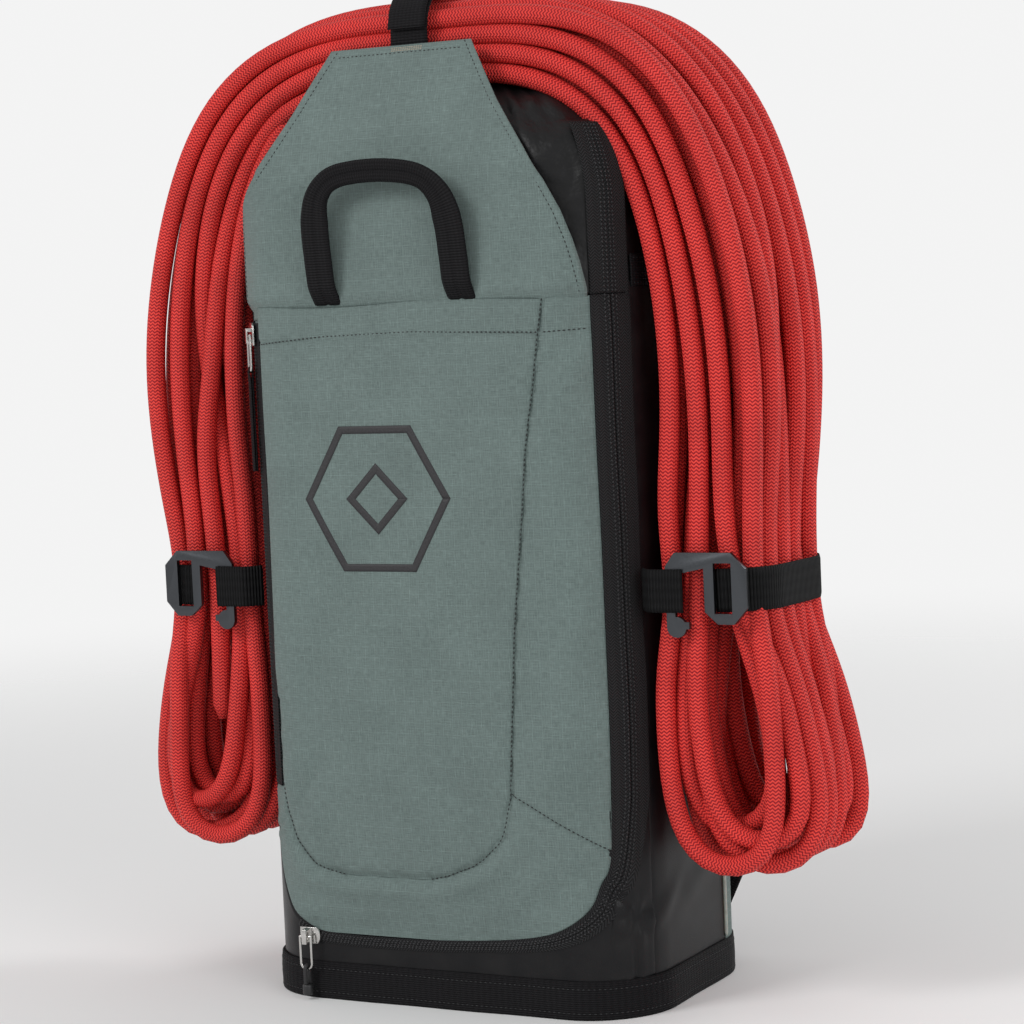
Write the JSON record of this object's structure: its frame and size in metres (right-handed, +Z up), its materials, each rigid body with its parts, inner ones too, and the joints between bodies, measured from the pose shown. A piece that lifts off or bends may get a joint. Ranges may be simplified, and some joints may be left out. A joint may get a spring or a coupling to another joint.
{
  "type": "rope storage bag",
  "caption": "Upright rope backpack with a zipped front door, folding lid flap, haul handle, back harness and side hook straps that carry a climbing rope coiled over its top.",
  "frame": {"origin": "centre of the base, on the surface that the bag stands on", "axes": "+Z up, -Y out of the front door, +X to the right of someone facing the front"},
  "size_m": [0.48, 0.2119, 0.6088],
  "materials": {
    "coated_fabric": "satin coated tarpaulin",
    "green_fabric": "melange ripstop weave",
    "black_fabric": "thin crinkled plain weave",
    "mesh_pad": "spacer mesh over foam",
    "webbing": "ribbed webbing",
    "zip_tape": "herringbone tape with reverse coil",
    "hook_metal": "dark anodised, satin",
    "zip_metal": "bright nickel",
    "moulded_plastic": "moulded, fine texture",
    "frame_plastic": "plain sheet",
    "rope_sheath": "braided sheath, two reds in zigzags",
    "pull_cord": "braided cord",
    "emblem_ink": "flat screen print"
  },
  "bodies": {
    "pack": {"base_panel": "coated_fabric", "base_band": "webbing", "lower_front_panel": "coated_fabric", "side_panel_right": "coated_fabric", "side_panel_left": "coated_fabric", "back_edge_right": "green_fabric", "back_edge_left": "green_fabric", "back_panel": "mesh_pad", "frame_sheet": "frame_plastic", "back_pad_right": "mesh_pad", "back_pad_left": "mesh_pad", "lumbar_pad": "mesh_pad", "collar": "black_fabric", "collar_hem": "black_fabric", "side_band_right": "webbing", "side_band_left": "webbing", "main_zip_outer": "zip_tape", "main_zip_upper": "zip_tape", "strap_loop_right": "webbing", "strap_loop_left": "webbing", "strap_wrap_right": "webbing", "strap_wrap_left": "webbing", "side_hook_right": "hook_metal", "side_hook_left": "hook_metal", "shoulder_strap_right": "mesh_pad", "shoulder_strap_left": "mesh_pad", "shoulder_webbing_right": "webbing", "shoulder_webbing_left": "webbing", "ladder_lock_right": "moulded_plastic", "ladder_lock_left": "moulded_plastic", "strap_anchor_right": "webbing", "strap_anchor_left": "webbing", "top_strap_rear": "webbing", "rope_over_top": "rope_sheath", "rope_hank_right": "rope_sheath", "rope_hank_left": "rope_sheath"},
    "door": {"door_lining": "black_fabric", "door_gusset": "green_fabric", "pocket_panel": "green_fabric", "emblem_print": "emblem_ink", "main_zip_inner": "zip_tape", "pocket_zip_door_tape": "zip_tape", "pocket_zip_panel_tape": "zip_tape", "handle_anchor": "webbing"},
    "lid": {"lid_flap": "green_fabric", "top_strap_front": "webbing", "top_strap_tail": "webbing", "top_hook": "hook_metal"},
    "handle": {"haul_handle": "webbing"},
    "rear_grab": {"grab_loop": "webbing"},
    "pocket_slider": {"pocket_zip_slider": "zip_metal"},
    "pocket_pull": {"pocket_zip_loop": "zip_metal", "pocket_pull_tab": "webbing"},
    "main_slider": {"main_zip_slider": "zip_metal"},
    "main_pull": {"main_zip_loop": "zip_metal", "main_pull_cord": "pull_cord", "main_pull_end": "moulded_plastic"}
  },
  "joints": [
    {"name": "door_swing", "type": "hinge", "parent": "pack", "child": "door", "pos_m": [-0.124, -0.064, 0.23], "axis": [0, 0, -1], "range_deg": [0, 90]},
    {"name": "lid_fold", "type": "hinge", "parent": "door", "child": "lid", "pos_m": [0, -0.0905, 0.4235], "axis": [1, 0, 0], "range_deg": [0, 100]},
    {"name": "handle_fold", "type": "hinge", "parent": "lid", "child": "handle", "pos_m": [-0.012, -0.0935, 0.425], "axis": [1, 0, 0], "range_deg": [0, 60], "stiffness_Nm_per_rad": 0.04},
    {"name": "rear_grab_fold", "type": "hinge", "parent": "pack", "child": "rear_grab", "pos_m": [0, 0.0885, 0.448], "axis": [-1, 0, 0], "range_deg": [0, 60]},
    {"name": "pocket_slider_run", "type": "slide", "parent": "door", "child": "pocket_slider", "axis": [0, 0, -1], "range_m": [0, 0.265]},
    {"name": "pocket_pull_swing", "type": "hinge", "parent": "pocket_slider", "child": "pocket_pull", "pos_m": [-0.1202, -0.07435, 0.405], "axis": [-0.6884, 0.7254, 0], "range_deg": [0, 175]},
    {"name": "main_slider_run", "type": "slide", "parent": "door", "child": "main_slider", "axis": [1, 0, 0], "range_m": [0, 0.14]},
    {"name": "main_pull_swing", "type": "hinge", "parent": "main_slider", "child": "main_pull", "pos_m": [-0.09, -0.0927, 0.039], "axis": [-1, 0, 0], "range_deg": [0, 170]}
  ]
}
